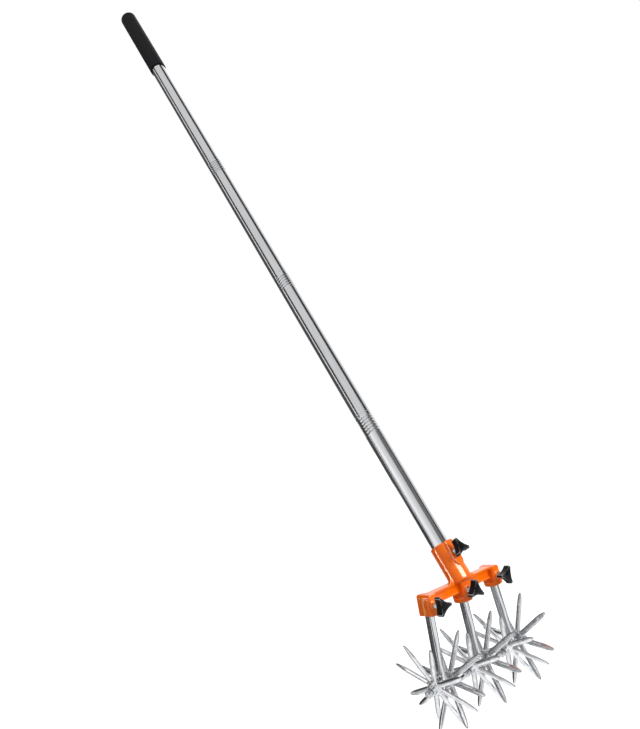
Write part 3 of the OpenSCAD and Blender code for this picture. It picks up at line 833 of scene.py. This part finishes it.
wheelMesh = runTree(wheelRing, wheelWedge(), Count=wheelSize["tines"], Weld=wheelSize["weld"],
                    Material=tumbledAlloy)
wheelMesh = evenSkin(wheelMesh, wheelSize["voxel"], wheelSize["rounds"], wheelBore)
for side, sign in sides.items():
    for end, way in ends.items():
        turn = wheelSize["turnLeft"] if way < 0 else wheelSize["turnRight"]
        place = axleFrame(sign, way) @ moved(z=tineUnit["wheelOffset"]) @ turned("Z", turn)
        name = "star_wheel_" + side + "_" + end
        addPiece("wheel." + side + "." + end, wheelMesh.copy(), place, tumbledAlloy, name, "alloy", name)
print("wheels made:", len(wheelMesh.polygons), "faces each")


pinSize = {
    "radius": 3, "headRadius": 4,
    "low": 1.71, "step": 21.9, "high": 28.5,  # along the axle: inner end, head, outer end
    "chamfer": 0.4, "headChamfer": 0.3, "round": 1.1, "endFlat": 1,
    "rowsFrom": 1.5, "rowsClear": 0.4, "headRows": 4, "roundRows": 7, "segments": 48,
}


def pinProfile():
    p = pinSize
    r, head, low, step, high = p["radius"], p["headRadius"], p["low"], p["step"], p["high"]
    c, e, bend = p["chamfer"], p["headChamfer"], p["round"]
    shaft = [(0, low), (r - c, low), (r, low + c), (r, step), (head - e, step), (head, step + e)]
    rows = np.linspace(step + p["rowsFrom"], high - bend - p["rowsClear"], p["headRows"])
    end = arc((head - bend, high - bend), bend, 0, 90, p["roundRows"]) + [(p["endFlat"], high), (0, high)]
    return shaft + [(head, z) for z in rows] + end


for side, sign in sides.items():
    for end, way in ends.items():
        pin = latheMesh("pin", pinProfile(), pinSize["segments"])
        addPiece("pin." + side + "." + end, pin, axleFrame(sign, way), zincSteel,
                 "tine_" + side, "steel", "axle_pin_" + side + "_" + end)
print("pins made")


white = (1, 1, 1, 1)
studio = {
    "floor": "#F8F8F8",
    "floorHalf": 9,  # metres
    "floorDrop": 80,  # room for the head and the tines to slide out
    "glow": 0.32,  # a lightbox table, which keeps the floor white
    "world": 0.57,  # what lights the object; the camera sees plain white
    "mirrored": 0.85,  # what the bright finishes mirror beside the panels
    "sun": {"from": (0.25, -0.85, 0.55), "strength": 2.75, "spread": 30},
}
# softboxes and black boards that only the bright finishes mirror, each panel as
# (angle from the camera, half width, brightness); reach is in metres, low and high in millimetres
polePanels = {
    "cloth": "#000000", "reach": 0.55, "low": -150, "high": 2000,
    "panels": [(-157, 22, 0.18), (-108, 27, 0.09), (-76, 5.5, 1.5), (-57, 13, 0.04), (2, 44, 0.95),
               (70, 17, 0.05), (103, 11, 1.0), (133, 18, 1.5), (165, 14, 1.6)],
}
lowerPanels = {  # the lowest tube is brighter on its left
    "cloth": "#000000", "reach": 0.5, "low": 0, "high": 360, "panels": [(-44, 18, 1.4), (-12, 14, 1.15)],
}
tinePanels = {
    "cloth": "#000000", "reach": 0.5, "low": -150, "high": 60,
    "panels": [(-92, 18, 0.04), (-60, 12, 1.4), (-30, 7, 0.1), (4, 22, 1.3), (36, 6, 0.08), (66, 20, 1.4),
               (100, 10, 0.05), (126, 14, 1.3), (155, 10, 0.05), (-150, 20, 1.3)],
}
floorBoard = {  # metres in the row frame
    "cloth": "#000000", "half": 1.2, "front": -0.34, "back": 1.5, "brightness": 0.6,
    "lift": 1,  # millimetres above the floor
}
# strips that light the casting alone; the pole mirrors them as grey boards
castingStrips = [
    {"cloth": "#AAAAAA", "reach": 0.5, "low": 20, "high": 360, "panels": [(-78, 5, 18)]},
    {"cloth": "#AAAAAA", "reach": 0.5, "low": -110, "high": 360, "panels": [(50, 22, 44)]},
]
shot = {
    "place": (-0.6244, -1.0891, -0.8175),  # metres in the row frame
    "turn": (96.49, 13.218, -36.894),
    "lens": 34.108,
    "sensor": 36,
    "far": 100,
    "shift": (0.0014, 0.0002),
}


def sheetOnFloor(name, side, front, back, lift=0):
    corners = [(-side, front, 0), (side, front, 0), (side, back, 0), (-side, back, 0)]
    mesh = meshFrom(name, corners, [(0, 1, 2, 3)])
    mesh.transform(Matrix.Translation((0, 0, cadLow[2])) @ moved(z=lift - studio["floorDrop"]))
    return mesh


def addFloor():
    material, add = newMaterial("palePaper")
    paint = add(paintNode, {
        "Base Color": linearColour(studio["floor"]), "Roughness": 0.9, "Specular IOR Level": 0.1,
        "Emission Color": white, "Emission Strength": studio["glow"]})
    add("ShaderNodeOutputMaterial", {"Surface": paint})
    half = studio["floorHalf"]
    mesh = sheetOnFloor("floor", half, -half, half)
    mesh.materials.append(material)
    floor = bpy.data.objects.new("floor", mesh)
    floor.visible_diffuse = False
    scene.collection.objects.link(floor)


def addSun():
    data = bpy.data.lights.new("skylight", "SUN")
    data.energy = studio["sun"]["strength"]
    data.angle = math.radians(studio["sun"]["spread"])
    lamp = bpy.data.objects.new("skylight", data)
    lamp.rotation_euler = Vector(studio["sun"]["from"]).to_track_quat("Z", "Y").to_euler()
    lamp.visible_glossy = False  # the panels below are what the gloss shows
    scene.collection.objects.link(lamp)


def panelMaterial(brightness, cloth):
    material, add = newMaterial("panelCloth")
    paint = add(paintNode, {"Base Color": linearColour(cloth), "Roughness": 1.0, "Specular IOR Level": 0.0,
                            "Emission Color": white, "Emission Strength": brightness})
    add("ShaderNodeOutputMaterial", {"Surface": paint})
    return material


def addMirrored(name, mesh, material, only=None):
    # shows in the gloss alone
    mesh.materials.append(material)
    panel = bpy.data.objects.new(name, mesh)
    panel.visible_camera = False
    panel.visible_diffuse = False
    panel.visible_shadow = False
    panel.light_linking.receiver_collection = only
    scene.collection.objects.link(panel)


def addPanels(name, place, size, only=None):
    # panels stand in a ring along an axis of the object, so that their stripes run its whole length
    toCamera = place.inverted() @ Vector(shot["place"])
    facing = math.atan2(toCamera.y, toCamera.x)
    for index, (angle, half, brightness) in enumerate(size["panels"]):
        a = facing + math.radians(angle)
        out = Vector((math.cos(a), math.sin(a), 0)) * size["reach"]
        wide = Vector((-math.sin(a), math.cos(a), 0)) * size["reach"] * math.tan(math.radians(half))
        low, high = Vector((0, 0, size["low"] * mm)), Vector((0, 0, size["high"] * mm))
        mesh = meshFrom(name, [out - wide + low, out + wide + low, out + wide + high, out - wide + high],
                        [(0, 1, 2, 3)])
        mesh.transform(place)
        addMirrored(name + "." + str(index), mesh, panelMaterial(brightness, size["cloth"]), only)


def addFloorBoard(size):
    # lies on the floor behind the head, where the pole mirrors it when seen from behind
    mesh = sheetOnFloor("floorBoard", size["half"], size["front"], size["back"], size["lift"])
    addMirrored("floorBoard", mesh, panelMaterial(size["brightness"], size["cloth"]))


def addWorld():
    world = bpy.data.worlds.new("paleStudio")
    world.use_nodes = True
    world.node_tree.nodes.clear()
    add = partial(addNode, world.node_tree)
    strength = studio["world"]
    for ray, value in (("Is Glossy Ray", studio["mirrored"]), ("Is Camera Ray", 1.0)):
        strength = add(mixNode, {0: add("ShaderNodeLightPath", out=ray), 2: strength, 3: value})
    light = add("ShaderNodeBackground", {"Color": white, "Strength": strength})
    add("ShaderNodeOutputWorld", {"Surface": light})
    scene.world = world


def addCamera():
    data = bpy.data.cameras.new("photoCamera")
    data.sensor_fit = "AUTO"
    data.sensor_width = shot["sensor"]
    data.lens = shot["lens"]
    data.clip_end = shot["far"]
    data.shift_x, data.shift_y = shot["shift"]
    camera = bpy.data.objects.new("photoCamera", data)
    camera.location = shot["place"]
    camera.rotation_euler = [math.radians(a) for a in shot["turn"]]
    scene.collection.objects.link(camera)
    scene.camera = camera


addFloor()
addSun()
addPanels("polePanel", poleFrame(), polePanels)
addPanels("lowerPanel", poleFrame(), lowerPanels)
addPanels("tinePanel", headFrame, tinePanels)
castingOnly = bpy.data.collections.new("castingOnly")
castingOnly.objects.link(casting)
for strip in castingStrips:
    addPanels("castingStrip", poleFrame(), strip, castingOnly)
addFloorBoard(floorBoard)
addWorld()
addCamera()
scene.view_settings.view_transform = "Standard"
print("stage made")

bpy.context.view_layer.update()
